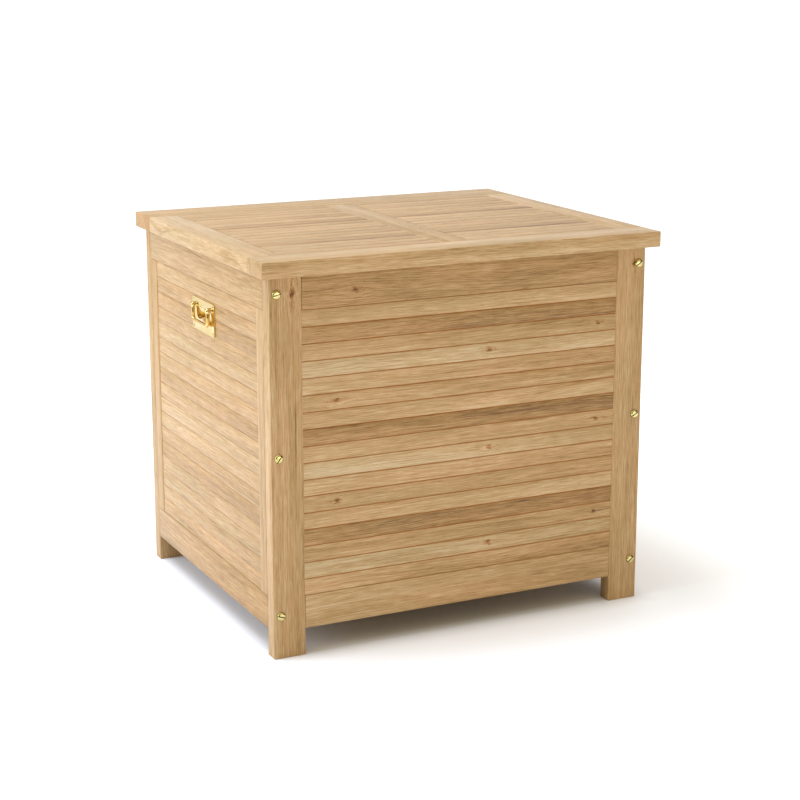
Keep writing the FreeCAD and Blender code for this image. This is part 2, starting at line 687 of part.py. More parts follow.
def make_stay(side, sign):
    lower, lower_length = stay_arm(side + "_stay_lower_arm", sign, LOWER_ARM, BOX_PIVOT,
                                   "stay_lid_forward", "stay_lid_drop")
    stay_hole(lower, "0", "stay_pin_play")
    rod(lower, (lower_length, "0", "0"), Z, "stay_pin_radius", "2 * stay_bar + 2 * stay_gap")
    rod(lower, (lower_length, "0", "2 * stay_bar + 2 * stay_gap"), Z, "stay_rivet_head_radius",
        "stay_rivet_head")
    upper, upper_length = stay_arm(side + "_stay_upper_arm", sign, UPPER_ARM, LID_PIVOT,
                                   "stay_forward", "stay_drop")
    stay_hole(upper, "0", "stay_pin_play")
    stay_hole(upper, upper_length, "elbow_play")
    make_box_bracket(side, sign)
    make_lid_bracket(side, sign)


def rivet(body, start, direction, length):
    """A pivot pin with a flat head at its far end."""
    rod(body, start, direction, "stay_pin_radius", length)
    head = ["(%s) + (%s) * %d" % (place, length, way)
            for place, way in zip(start, (round(direction.x), round(direction.y), 0))]
    rod(body, (head[0], head[1], start[2]), direction, "stay_rivet_head_radius",
        "stay_rivet_head")


def make_box_bracket(side, sign):
    body = new_part(side + "_stay_box_bracket", ("0", BOX_PIVOT[0], BOX_PIVOT[1]))
    inner = "%s * %d" % (INNER, sign)
    block(body, (low_x(sign, INNER + " - bracket", "bracket"), "-bracket_width / 2",
                 "-bracket_height / 2"),
          ("bracket", "bracket_width", "bracket_height"))
    rod(body, (inner, "0", "0"), X * -sign, "stay_boss_radius", "bracket + stay_boss")
    rivet(body, (inner, "0", "0"), X * -sign,
          "bracket + stay_boss + stay_bar + stay_gap")
    for height in bracket_screw_heights():
        rod(body, ("(%s - bracket - overcut) * %d" % (INNER, sign), "0", height), X * sign,
            "screw_radius + screw_play", "bracket + 2 * overcut", cut=True)
        taper(body, ("(%s - bracket) * %d" % (INNER, sign), "0", height), X * sign,
              "screw_head_radius + screw_play", "screw_radius + screw_play", "screw_head",
              cut=True)


def make_lid_bracket(side, sign):
    """An angle: a flange under the lid and a tab that carries the upper arm's pin."""
    body = new_part(side + "_stay_lid_bracket", ("0", LID_PIVOT[0], LID_PIVOT[1]))
    block(body, (low_x(sign, LID_TAB + " - bracket", "bracket"), "-bracket_width / 2",
                 "-stay_bar_radius"),
          ("bracket", "bracket_width", "stay_lid_drop + stay_bar_radius"))
    block(body, (low_x(sign, LID_TAB + " - flange_width", "flange_width"),
                 "-flange_length / 2", "stay_lid_drop - bracket"),
          ("flange_width", "flange_length", "bracket"))
    rivet(body, ("(%s - bracket) * %d" % (LID_TAB, sign), "0", "0"), X * sign,
          "bracket + 2 * stay_gap + stay_bar")
    for across, along in flange_screw_places(sign):
        middle = ("(%s)" % across, "(%s) - (%s)" % (along, LID_PIVOT[0]))
        rod(body, middle + ("stay_lid_drop - bracket - overcut",), Z,
            "screw_radius + screw_play", "bracket + 2 * overcut", cut=True)
        taper(body, middle + ("stay_lid_drop - bracket",), Z,
              "screw_head_radius + screw_play", "screw_radius + screw_play", "screw_head",
              cut=True)


def make_stay_screws():
    box_screws = new_part("stay_box_screws", ("0", BOX_PIVOT[0], BOX_PIVOT[1]))
    lid_screws = new_part("stay_lid_screws")
    for side, sign in SIDES:
        for height in bracket_screw_heights():
            place = ("(%s - bracket) * %d" % (INNER, sign), "0", height)
            screw(box_screws, place, X * sign, "short_screw_length")
        for across, along in flange_screw_places(sign):
            screw(lid_screws, (across, along, RIM + " - bracket"), Z, "short_screw_length")


def drill_batten_screws():
    """Holes in the side battens for the stay brackets' screws."""
    for body in parts:
        if body.Label not in ("left_battens", "right_battens"):
            continue
        sign = -1 if body.Label.startswith("left") else 1
        inner_x = "board - slat_recess - slat_board + overcut" if sign < 0 else "-overcut"
        along = "(%s) - ((%s) + batten_inset - batten_width / 2)" % (BOX_PIVOT[0], FRONT)
        for screw_height in bracket_screw_heights():
            height = "(%s) + (%s) - (%s)" % (BOX_PIVOT[1], screw_height, SLATS_LOW)
            rod(body, (inner_x, along, height), X * sign, "screw_radius + screw_play",
                "short_screw_length", cut=True)


def finish():
    """Recompute, refuse anything that failed, and write one file to each part."""
    doc.recompute()
    for item in doc.Objects:
        if "Invalid" in item.State or "Error" in item.State:
            raise RuntimeError("%s (%s) did not compute" % (item.Label, item.Name))
    os.makedirs("parts", exist_ok=True)
    for body in parts:
        if body.Shape.isNull() or not body.Shape.isValid():
            raise RuntimeError("%s has no valid shape" % body.Label)
    for body in parts:
        body.Shape.exportStep("parts/%s.step" % body.Label)
    print(len(parts), "parts written")


make_posts()
make_front_and_back_panels()
make_side_panels()
make_floor()
make_lid_frame()
make_lid_slats()
make_lid_battens()
make_hinges()
make_bolts()
make_handles()
for side, sign in SIDES:
    make_stay(side, sign)
make_stay_screws()
drill_batten_screws()
finish()
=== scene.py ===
"""The looks of the slatted teak deck box: boards with solid grain, polished brass, studio light.

Metres, +Z up, +X to the right, the front faces -Y.  Every piece takes its place from the boxes
of CAD nodes; what is given here are the details that the CAD leaves out, and the looks.
"""
import bpy
import bmesh
import json
import math
import random
from mathutils import Matrix, Vector


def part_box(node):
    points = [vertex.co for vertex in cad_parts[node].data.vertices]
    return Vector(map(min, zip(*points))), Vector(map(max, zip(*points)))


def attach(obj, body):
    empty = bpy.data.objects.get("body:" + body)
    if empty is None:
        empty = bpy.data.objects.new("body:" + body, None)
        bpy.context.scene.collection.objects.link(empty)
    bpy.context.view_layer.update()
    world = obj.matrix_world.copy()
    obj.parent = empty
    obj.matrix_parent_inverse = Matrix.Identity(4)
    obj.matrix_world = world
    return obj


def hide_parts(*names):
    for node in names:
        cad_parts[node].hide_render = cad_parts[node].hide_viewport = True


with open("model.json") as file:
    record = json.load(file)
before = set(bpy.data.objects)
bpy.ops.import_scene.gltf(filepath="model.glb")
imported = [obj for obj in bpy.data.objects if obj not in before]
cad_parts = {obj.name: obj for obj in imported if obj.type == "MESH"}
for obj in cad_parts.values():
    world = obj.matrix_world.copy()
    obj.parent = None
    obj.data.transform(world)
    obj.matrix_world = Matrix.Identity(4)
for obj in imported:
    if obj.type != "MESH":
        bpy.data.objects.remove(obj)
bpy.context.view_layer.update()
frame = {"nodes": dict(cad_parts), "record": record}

MM = 0.001
X, Y, Z = 0, 1, 2
BODY_OF = {node: body for body, nodes in frame["record"]["behaviour"]["bodies"].items()
           for node in nodes}
SLOT_OF = {part["node"]: part["material_slot"] for part in frame["record"]["subparts"]}

# boards
EASED = 1.3 * MM          # radius of a planed board's edges
SLATS = 17                # slats to a panel and to each field of the lid
V_JOINT = (1.2 * MM, 0.4 * MM, 1.0)       # the slats' bevel, the gap between two, the strength of its stain and painted shade
TIGHT_JOINT = (0.5 * MM, 0.25 * MM, 0.45)         # the side panels' joints hardly show: less stain and painted shade in them
TONGUE = (4.5 * MM, 3 * MM)               # thickness and reach
TONGUE_SLIP = 0.2 * MM    # how much wider, on either side, and deeper its groove is
BATTENS, BATTEN_WIDTH = 3, 40 * MM
LID_BATTEN_WIDTH = 23 * MM
CLEATS, CLEAT_WIDTH = 2, 18 * MM
FLOOR_BOARDS, FLOOR_GAP = 10, 4 * MM
LEAF, LEAF_PLAY = 2 * MM, 0.3 * MM        # a hinge leaf's thickness, and the play in its seat
SEAT_ROUNDING = 0.2 * MM
SMOOTH_UNDER = math.radians(40)           # edges that turn less are shaded smooth

rng = random.Random(651)


# --- camera, light and floor --------------------------------------------------------------------

CAMERA_AZIMUTH = 25.97      # degrees the view turns from +Y towards +X
CAMERA_DROP = 13.95         # degrees the view points below the horizon
CAMERA_DISTANCE = 3.2368    # from the point it aims at
CAMERA_LENS = 84.94         # millimetres, on Blender's 36 mm sensor
CAMERA_AIM = Vector((0.0226, 0.0015, 0.3139))

WHITE_SIDE = (1.05, 1.05, 1.05, 1)      # the surround behind the box
DIM_SIDE = (0.80, 0.680, 0.480, 1)      # and in front of it
SIDE_FADE = (-0.5, 0.35)                # between these parts of the way from front to back
FLAG = (0.010, 0.050, 0.045, 1)         # dark cards that give the polished brass its depth
FLAGS = ((-0.80, -0.60, 0.02), (0.93, -0.30, 0.20))    # the ways they stand from the box
FLAG_EDGE = (0.84, 0.87)                # how nearly those ways one looks at their soft edges
FLOOR_HALF_WIDTH = 100
BOX_HALF_WIDTH, BOX_HALF_DEPTH = 0.33, 0.28
NEAR_FLOOR, FAR_FLOOR = (0.80, 0.82, 0.86, 1), (0.18, 0.18, 0.19, 1)
# how strongly the floor glows: each strength comes in between two distances from the box's sides.
# Close by, the glow is painted light that lifts the box's cast shadows.
FLOOR_GLOW = ((-0.03, 0.03, 0.26), (0.08, 0.7, 0.4), (0.9, 1.5, 0.4))
LIGHT_AIM = Vector((0, 0, 0.3))         # the middle of the box
LIGHTS = (   # name, place, size, watts, colour
    ("key", (-2.95, 0.38, 1.6), (1.8, 1.8), 50, (0.95, 1.02, 1.17)),
    ("top", (-1.0, 0.2, 3.3), (1.6, 1.6), 54, (0.94, 1.02, 1.17)),
    ("front", (0.9, -3.4, 0.15), (2.0, 0.6), 17, (1.0, 0.90, 0.76)),
)


def aimed(direction):
    """A rotation that points a camera or a light along a direction."""
    return direction.to_track_quat("-Z", "Y").to_euler()


def make_camera():
    """A long lens that looks down at the front left corner."""
    turn, drop = math.radians(CAMERA_AZIMUTH), math.radians(CAMERA_DROP)
    ahead = Vector((math.sin(turn) * math.cos(drop), math.cos(turn) * math.cos(drop),
                    -math.sin(drop)))
    data = bpy.data.cameras.new("camera")
    data.lens = CAMERA_LENS
    data.clip_start, data.clip_end = 0.05, 100
    camera = bpy.data.objects.new("camera", data)
    camera.location = CAMERA_AIM - ahead * CAMERA_DISTANCE
    camera.rotation_euler = aimed(ahead)
    bpy.context.scene.collection.objects.link(camera)
    bpy.context.scene.camera = camera


def make_light(name, place, size, power, colour):
    """One soft box, aimed at the middle of the object."""
    data = bpy.data.lights.new(name, "AREA")
    data.shape = "RECTANGLE"
    data.size, data.size_y = size
    data.energy = power
    data.color = colour
    light = bpy.data.objects.new(name, data)
    light.location = place
    light.rotation_euler = aimed(LIGHT_AIM - Vector(place))
    bpy.context.scene.collection.objects.link(light)


def make_studio():
    """A white floor, a surround that is white behind the box and dim in front, and soft boxes."""
    scene = bpy.context.scene
    scene.view_settings.view_transform = "Standard"
    world = bpy.data.worlds.new("studio")
    scene.world = world
    world.use_nodes = True
    tree = world.node_tree
    surround = tree.nodes["Background"]
    way = separated(tree, add(tree, "ShaderNodeTexCoord").outputs["Generated"])
    behind = ramped(tree, way[Y], *SIDE_FADE, interpolation_type="SMOOTHSTEP")
    colour = blended(tree, behind, DIM_SIDE, WHITE_SIDE)
    for flag in FLAGS:
        toward = sum_of(tree, *(calc(tree, "MULTIPLY", part, share)
                                for part, share in zip(way, flag)))
        colour = blended(tree, ramped(tree, toward, *FLAG_EDGE), colour, FLAG)
    tree.links.new(colour, surround.inputs["Color"])
    for name, place, size, power, colour in LIGHTS:
        make_light(name, place, size, power, colour)
    bm = bmesh.new()
    bmesh.ops.create_grid(bm, x_segments=2, y_segments=2, size=FLOOR_HALF_WIDTH)
    mesh_piece("floor", bm, [floor_material()])


def floor_material():
    """White by the box, where a painted glow lifts the shadows from its sides outward; further out
    its own colour darkens and it glows more instead, so that it runs into the surround.
    """
    material, tree, shader = new_material("pale_floor")
    shader.inputs["Roughness"].default_value = 0.9
    shader.inputs["Specular IOR Level"].default_value = 0.0
    shader.inputs["Emission Color"].default_value = (1, 1, 1, 1)
    x, y, _ = separated(tree, add(tree, "ShaderNodeTexCoord").outputs["Object"])
    beyond = calc(tree, "MAXIMUM",
                  calc(tree, "SUBTRACT", calc(tree, "ABSOLUTE", x), BOX_HALF_WIDTH),
                  calc(tree, "SUBTRACT", calc(tree, "ABSOLUTE", y), BOX_HALF_DEPTH))
    # painted light: the first glow lifts the cast shadows just outside the box, none under it
    steps = [ramped(tree, beyond, start, end, strength) for start, end, strength in FLOOR_GLOW]
    tree.links.new(sum_of(tree, *steps), shader.inputs["Emission Strength"])
    far = ramped(tree, beyond, *FLOOR_GLOW[-1][:2])
    tree.links.new(blended(tree, far, NEAR_FLOOR, FAR_FLOOR), shader.inputs["Base Color"])
    return material


# --- meshes -------------------------------------------------------------------------------------

def mesh_piece(name, bm, materials):
    """A bmesh as an object in the scene, smooth but for its sharper edges."""
    mesh = bpy.data.meshes.new(name)
    bm.to_mesh(mesh)
    bm.free()
    for material in materials:
        mesh.materials.append(material)
    mesh.shade_smooth()
    mesh.set_sharp_from_angle(angle=SMOOTH_UNDER)
    piece = bpy.data.objects.new(name, mesh)
    bpy.context.scene.collection.objects.link(piece)
    return piece


def placed(piece, node):
    """Puts a piece in its node's place in the assembly: its body."""
    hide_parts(node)
    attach(piece, BODY_OF[node])


def rounded_box(bm, low, high, radius, segments=3):
    """A box with rounded edges, added to bm."""
    middle, size = (low + high) / 2, high - low
    made = bmesh.ops.create_cube(bm, size=1)
    for vertex in made["verts"]:
        vertex.co = Vector(c * s for c, s in zip(vertex.co, size)) + middle
    edges = list({edge for vertex in made["verts"] for edge in vertex.link_edges})
    bmesh.ops.bevel(bm, geom=edges, offset=radius, segments=segments, profile=0.5,
                    affect="EDGES")


NO_KNOT = (40, 0.5, 0)    # so many lengths away that nothing of it shows


class Board:
    """One board: its box, the axis its grain runs along, the axis through its thickness.

    shade is added to the wood's tone at its two ends, hue makes it redder, and knot is
    (place along, place across, size), with the places as shares of its length and width.
    """

    def __init__(self, low, high, along, through, shade=(0, 0), hue=0, knot=NO_KNOT, slat=0,
                 seats=()):
        self.low, self.high = Vector(low), Vector(high)
        self.along, self.through = along, through
        self.across = 3 - along - through
        self.shade, self.hue, self.knot = shade, hue, knot
        self.slat = slat        # 0 for a plain board, else the way its bevelled face looks
        self.seats = seats      # boxes cut out of it


GRAIN_LAYERS = ("grain", "knot", "tone")
LOG_REACH = 40                                   # how far along its log a board may come from
HEART_ACROSS, HEART_THROUGH = (0.02, 0.09), (0.02, 0.06)    # how far the log's heart lies off


def lay_grain(bm, vertices, board):
    """Gives a board's vertices their place in the log it was cut from, and its tones.

    grain is (along, across, through) in metres, counted from the log's heart; knot is a place
    in the same numbers and a size; tone is (shade, hue, seed).
    """
    grain, knot, tone = [bm.verts.layers.float_vector[name] for name in GRAIN_LAYERS]
    middle = (board.low + board.high) / 2
    size = board.high - board.low
    heart = Vector((rng.uniform(-LOG_REACH, LOG_REACH),
                    rng.choice((-1, 1)) * rng.uniform(*HEART_ACROSS),
                    rng.choice((-1, 1)) * rng.uniform(*HEART_THROUGH)))
    seed = rng.random()
    axes = (board.along, board.across, board.through)
    knot_along, knot_across, knot_size = board.knot
    knot_at = (heart[0] + (knot_along - 0.5) * size[board.along],
               heart[1] + (knot_across - 0.5) * size[board.across], knot_size)
    for vertex in vertices:
        local = [vertex.co[axis] - middle[axis] for axis in axes]
        vertex[grain] = Vector(local) + heart
        vertex[knot] = knot_at
        share = local[0] / size[board.along] + 0.5
        vertex[tone] = (board.shade[0] * (1 - share) + board.shade[1] * share, board.hue, seed)


def cut_out(board):
    """The mesh of a plain board with its seats cut out of it."""
    def solid(low, high, *rounding):
        bm = bmesh.new()
        rounded_box(bm, low, high, *rounding)
        return mesh_piece("solid", bm, [])

    whole = solid(board.low, board.high, EASED)
    seats = [solid(low, high, SEAT_ROUNDING, 1) for low, high in board.seats]
    for seat in seats:
        whole.modifiers.new("seat", "BOOLEAN").object = seat
    shape = whole.evaluated_get(bpy.context.evaluated_depsgraph_get())
    result = bpy.data.meshes.new_from_object(shape)
    for helper in (whole, *seats):
        bpy.data.objects.remove(helper)
    return result


def box_board(bm, board):
    """A plain board with eased edges, added to bm."""
    old_vertices, old_faces = set(bm.verts), set(bm.faces)
    if board.seats:
        bm.from_mesh(cut_out(board))
    else:
        rounded_box(bm, board.low, board.high, EASED)
    lay_grain(bm, [vertex for vertex in bm.verts if vertex not in old_vertices], board)
    mark_ends(bm, [face for face in bm.faces if face not in old_faces], board)


def around(ring):
    """The numbers of each point of a closed ring and of the one after it."""
    return [(i, (i + 1) % len(ring)) for i in range(len(ring))]


END_FACING = 0.7          # how nearly a face looks along the grain where it is a sawn end


def mark_ends(bm, faces, board):
    """Sets the end layer to 1 on a board's sawn ends."""
    end = bm.faces.layers.float["end"]
    for face in faces:
        face.normal_update()
        face[end] = 1.0 if abs(face.normal[board.along]) > END_FACING else 0.0


BEVEL_SAG = (0.35, 0.3)   # the middle of a rounded bevel, as shares of it across and in


def slat_profile(width, depth, bevel):
    """A slat's section: bevelled face edges, a tongue on one side and a groove on the other.

    Points are (across, out): out is 0 at the back and depth at the face.  The last entry of
    each point is 1 where the surface lies in the V-shaped joint, which takes the joint's stain and
    painted shade.
    """
    tongue, reach = TONGUE
    low, high = depth / 2 - tongue / 2, depth / 2 + tongue / 2
    sag, dip = bevel * BEVEL_SAG[0], bevel * BEVEL_SAG[1]
    slip = TONGUE_SLIP
    return [(0, 0, 0), (width, 0, 0), (width, low, 1), (width + reach, low, 1),
            (width + reach, high, 1), (width, high, 1), (width, depth - bevel, 1),
            (width - sag, depth - dip, 0.5), (width - bevel, depth, 0), (bevel, depth, 0),
            (sag, depth - dip, 0.5), (0, depth - bevel, 1), (0, high + slip, 1),
            (reach + slip, high + slip, 1), (reach + slip, low - slip, 1), (0, low - slip, 1)]


def slat_board(bm, board, bevel, stain_and_shade):
    """A slat laid along its board's axis; its face looks the way board.slat says."""
    groove = bm.verts.layers.float["groove"]
    size = board.high - board.low
    width, depth = size[board.across], size[board.through]
    back = board.low if board.slat > 0 else board.high
    rings = []
    for end in (board.low, board.high):
        ring = []
        for across, out, in_joint in slat_profile(width, depth, bevel):
            place = Vector()
            place[board.along] = end[board.along]
            place[board.across] = board.low[board.across] + across
            place[board.through] = back[board.through] + out * board.slat
            vertex = bm.verts.new(place)
            # each point's share of the joint's stain and painted shade
            vertex[groove] = in_joint * stain_and_shade
            ring.append(vertex)
        rings.append(ring)
    first, last = rings
    faces = [bm.faces.new(first), bm.faces.new(last[::-1])]
    for i, j in around(first):
        faces.append(bm.faces.new((first[j], first[i], last[i], last[j])))
    bmesh.ops.recalc_face_normals(bm, faces=faces)
    lay_grain(bm, first + last, board)
    mark_ends(bm, faces, board)


def new_board_mesh():
    """An empty bmesh with the layers that the wood's material reads."""
    bm = bmesh.new()
    for name in GRAIN_LAYERS:
        bm.verts.layers.float_vector.new(name)
    bm.verts.layers.float.new("groove")
    bm.faces.layers.float.new("end")
    return bm


def wooden(node, boards, material, bevel=0, stain_and_shade=0):
    """One piece that shows a CAD node's board or boards."""
    bm = new_board_mesh()
    for board in boards:
        if board.slat:
            slat_board(bm, board, bevel, stain_and_shade)
        else:
            box_board(bm, board)
    placed(mesh_piece(node + "_wood", bm, [material]), node)


def split(node, axis, count, width):
    """The boxes of equal boards spread evenly across a node's box."""
    low, high = (Vector(corner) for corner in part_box(node))
    step = (high[axis] - low[axis] - width) / (count - 1)
    boxes = []
    for number in range(count):
        first, last = low.copy(), high.copy()
        first[axis] = low[axis] + number * step
        last[axis] = first[axis] + width
        boxes.append((first, last))
    return boxes


# --- materials ----------------------------------------------------------------------------------

def new_material(name):
    """A material, its node tree and its shader."""
    material = bpy.data.materials.new(name)
    material.use_nodes = True
    tree = material.node_tree
    return material, tree, tree.nodes["Principled BSDF"]


def add(tree, kind, inputs=(), **settings):
    """A shader node with its settings and its inputs, each a value or another node's output."""
    item = tree.nodes.new(kind)
    for name, setting in settings.items():
        setattr(item, name, setting)
    for key, given in dict(inputs).items():
        if isinstance(given, bpy.types.NodeSocket):
            tree.links.new(given, item.inputs[key])
        else:
            item.inputs[key].default_value = given
    return item


def calc(tree, operation, *terms, clamp=False):
    """A sum, product or other function of numbers."""
    return add(tree, "ShaderNodeMath", enumerate(terms), operation=operation,
               use_clamp=clamp).outputs[0]


def sum_of(tree, *terms):
    """All of some numbers added up."""
    total = terms[0]
    for term in terms[1:]:
        total = calc(tree, "ADD", total, term)
    return total


def ramped(tree, number, start, end, height=1.0, **settings):
    """0 up to start, rising to height at end."""
    return add(tree, "ShaderNodeMapRange", {"Value": number, "From Min": start, "From Max": end,
                                            "To Max": height}, **settings).outputs["Result"]


def blended(tree, share, first, second):
    """A mix of two colours: all of the first at a share of 0, all of the second at 1."""
    return add(tree, "ShaderNodeMix", {0: share, 6: first, 7: second},
               data_type="RGBA").outputs[2]


def multiplied(tree, colour, share, by):
    """A colour multiplied by another, by some share."""
    return add(tree, "ShaderNodeMix", {0: share, 6: colour, 7: by}, data_type="RGBA",
               blend_type="MULTIPLY").outputs[2]


def stretched_noise(tree, parts, scales, detail=2.0, roughness=0.5, offset=0.0):
    """Noise over (along, across, through), each axis with its own scale per metre."""
    vector = add(tree, "ShaderNodeCombineXYZ",
                 [(axis, calc(tree, "MULTIPLY_ADD", part, scale, offset))
                  for axis, (part, scale) in enumerate(zip(parts, scales))]).outputs[0]
    noise = add(tree, "ShaderNodeTexNoise", {"Vector": vector, "Scale": 1.0, "Detail": detail,
                                             "Roughness": roughness})
    return calc(tree, "SUBTRACT", noise.outputs["Fac"], 0.5)


def attribute(tree, name, output="Vector"):
    """What a mesh says under a name, as a vector or as a number (Fac)."""
    return add(tree, "ShaderNodeAttribute", attribute_name=name).outputs[output]


def separated(tree, vector):
    """The three parts of a vector."""
    return add(tree, "ShaderNodeSeparateXYZ", {0: vector}).outputs[:3]


TEAK = (  # heartwood from its darkest line to its palest, linear colours
    (0.00, (0.130, 0.056, 0.018)),
    (0.22, (0.268, 0.145, 0.048)),
    (0.42, (0.388, 0.235, 0.095)),
    (0.60, (0.478, 0.313, 0.156)),
    (0.80, (0.576, 0.426, 0.262)),
    (1.00, (0.664, 0.540, 0.390)),
)
JOINT_STAIN_AND_SHADE = (0.56, 0.245, 0.078, 1)     # the stain and painted shade in the slats' joints: darker, oranger wood where shade falls in the V
COOLER, WARMER = (0.96, 1.02, 0.99, 1), (1.05, 0.965, 0.88, 1)      # tints within a board
KNOT_TINT, END_TINT = (1.0, 0.74, 0.60, 1), (0.88, 0.80, 0.70, 1)
SMALLEST_KNOT = 0.5 * MM


def knot_terms(tree, along, across, wobble):
    """A point's share of its board's knot: the core, its surround, and the across it bends to."""
    knot_along, knot_across, size = separated(tree, attribute(tree, "knot"))
    safe = calc(tree, "MAXIMUM", size, SMALLEST_KNOT)
    off_along = calc(tree, "DIVIDE", calc(tree, "SUBTRACT", along, knot_along), safe)
    off_across = calc(tree, "DIVIDE", calc(tree, "SUBTRACT", across, knot_across), safe)
    off_across = calc(tree, "MULTIPLY_ADD", wobble, 2.2, off_across)

    def bell(stretch, width):
        """1 at the knot's middle, fading out over so many knot sizes along and across."""
        first = calc(tree, "MULTIPLY", off_along, 1 / stretch)
        second = calc(tree, "MULTIPLY", off_across, 1 / width)
        square = sum_of(tree, calc(tree, "MULTIPLY", first, first),
                        calc(tree, "MULTIPLY", second, second))
        return calc(tree, "EXPONENT", calc(tree, "MULTIPLY", square, -1.0))

    core, crack, wide = bell(0.9, 0.55), bell(3.4, 0.22), bell(3.6, 1.3)
    bent = calc(tree, "MULTIPLY_ADD",
                calc(tree, "MULTIPLY", calc(tree, "SUBTRACT", across, knot_across), wide),
                -0.8, across)
    return calc(tree, "MAXIMUM", core, calc(tree, "MULTIPLY", crack, 0.55)), wide, bent


def teak_material(name, brightness=1.0, roughness=0.42):
    """Straight-grained teak as a solid: growth bands about the log's heart, fibre and pores.

    Noise scales are per metre along, across and through a board.
    """
    material, tree, shader = new_material(name)
    along, across, through = separated(tree, attribute(tree, "grain"))
    shade, hue, seed = separated(tree, attribute(tree, "tone"))
    wobble = stretched_noise(tree, (along, across, through), (120, 260, 260), 2, 0.6)
    core, wide, across = knot_terms(tree, along, across, wobble)
    log = (along, across, through)
    own = calc(tree, "MULTIPLY", seed, 37.0)

    wander = stretched_noise(tree, log, (2.6, 10, 10), 2, 0.5)
    ripple = stretched_noise(tree, log, (14, 45, 45), 2, 0.55, 4.0)
    shifted = sum_of(tree, across, calc(tree, "MULTIPLY", wander, 0.022),
                     calc(tree, "MULTIPLY", ripple, 0.0018))
    sunk = calc(tree, "MULTIPLY_ADD", wander, 0.008, through)
    radius = calc(tree, "SQRT", sum_of(tree, calc(tree, "MULTIPLY", shifted, shifted),
                                       calc(tree, "MULTIPLY", sunk, sunk)))
    bands = stretched_noise(tree, (along, radius, own), (1.0, 95, 1), 4, 0.65)
    lines = stretched_noise(tree, (along, radius, own), (5, 330, 1), 3, 0.7, 9.0)
    dark_lines = calc(tree, "MAXIMUM", calc(tree, "MULTIPLY_ADD", lines, -5.0, -0.30), 0.0)
    strands = (along, shifted, through)
    fibre = stretched_noise(tree, strands, (9, 520, 520), 2, 0.7)
    hair = stretched_noise(tree, strands, (32, 1050, 1050), 2, 0.6)
    specks = stretched_noise(tree, strands, (32, 520, 520), 1, 0.5, 6.0)
    flecks = calc(tree, "MAXIMUM", calc(tree, "MULTIPLY_ADD", specks, 6.0, -1.05), 0.0)
    patches = stretched_noise(tree, log, (4.5, 30, 30), 3, 0.55, 2.0)
    mottle = stretched_noise(tree, log, (60, 110, 110), 2, 0.5, 5.0)
    dots = stretched_noise(tree, strands, (110, 2600, 2600), 1, 0.5)
    pores = calc(tree, "GREATER_THAN", dots, 0.15)

    layers = ((bands, 0.50), (dark_lines, -0.25), (fibre, 0.56), (hair, 0.90), (flecks, -0.17),
              (patches, 0.32), (mottle, 0.10), (pores, -0.12), (core, -0.55), (wide, 0.08))
    tone = sum_of(tree, 0.50, shade,
                  *(calc(tree, "MULTIPLY", layer, strength) for layer, strength in layers))
    ramp = add(tree, "ShaderNodeValToRGB", {0: tone})
    stops = ramp.color_ramp.elements
    for place, colour in TEAK[1:-1]:
        stops.new(place)
    for stop, (place, colour) in zip(stops, TEAK):
        stop.position = place
        stop.color = (*(c * brightness for c in colour), 1)

    warmth = calc(tree, "MULTIPLY_ADD", patches, 1.6, calc(tree, "ADD", hue, 0.45), clamp=True)
    tinted = multiplied(tree, ramp.outputs[0], 1.0, blended(tree, warmth, COOLER, WARMER))
    ruddy = multiplied(tree, tinted, core, KNOT_TINT)
    end = attribute(tree, "end", "Fac")
    ended = multiplied(tree, ruddy, calc(tree, "MULTIPLY", end, 0.6), END_TINT)
    groove = attribute(tree, "groove", "Fac")
    # painted shade with some stain: the joints darken towards this colour
    joint_stained_shaded = blended(tree, calc(tree, "MULTIPLY", groove, 0.9), ended, JOINT_STAIN_AND_SHADE)
    tree.links.new(joint_stained_shaded, shader.inputs["Base Color"])

    height = sum_of(tree, fibre, calc(tree, "MULTIPLY", hair, 0.6),
                    calc(tree, "MULTIPLY", pores, -0.5))
    bump = add(tree, "ShaderNodeBump", {"Height": height, "Strength": 0.35,
                                        "Distance": 0.00035})
    tree.links.new(bump.outputs[0], shader.inputs["Normal"])
    gloss = calc(tree, "MULTIPLY_ADD", fibre, 0.25, roughness)
    tree.links.new(gloss, shader.inputs["Roughness"])
    shader.inputs["Specular IOR Level"].default_value = 0.3
    return material


def brass_material(name, dull, bright, roughness=0.06):
    """Brass between a dull and a bright colour, with faint rubbing marks."""
    material, tree, shader = new_material(name)
    place = add(tree, "ShaderNodeTexCoord").outputs["Object"]
    marks = add(tree, "ShaderNodeTexNoise", {"Vector": place, "Scale": 160.0, "Detail": 5.0})
    cloud = add(tree, "ShaderNodeTexNoise", {"Vector": place, "Scale": 45.0, "Detail": 2.0})
    share = calc(tree, "MULTIPLY_ADD", cloud.outputs["Fac"], 1.6, -0.4, clamp=True)
    tree.links.new(blended(tree, share, dull, bright), shader.inputs["Base Color"])
    tree.links.new(calc(tree, "MULTIPLY_ADD", marks.outputs["Fac"], 0.06, roughness - 0.03),
                   shader.inputs["Roughness"])
    shader.inputs["Metallic"].default_value = 1.0
    bump = add(tree, "ShaderNodeBump", {"Height": marks.outputs["Fac"], "Strength": 0.04,
                                        "Distance": 0.0001})
    tree.links.new(bump.outputs[0], shader.inputs["Normal"])
    return material


teak = teak_material("oiled_teak")
inner_teak = teak_material("bare_teak", brightness=0.9, roughness=0.65)
brass = brass_material("polished_brass", (0.70, 0.54, 0.22, 1), (0.76, 0.62, 0.30, 1))
# a darker, oranger copy of the brass for the bails: painted shade standing in for the dark
# reflections they show
bail_brass = brass_material("bail_brass", (0.64, 0.41, 0.12, 1), (0.76, 0.53, 0.19, 1))
bolt_brass = brass_material("bolt_brass", (0.54, 0.45, 0.17, 1), (0.68, 0.60, 0.28, 1), 0.2)
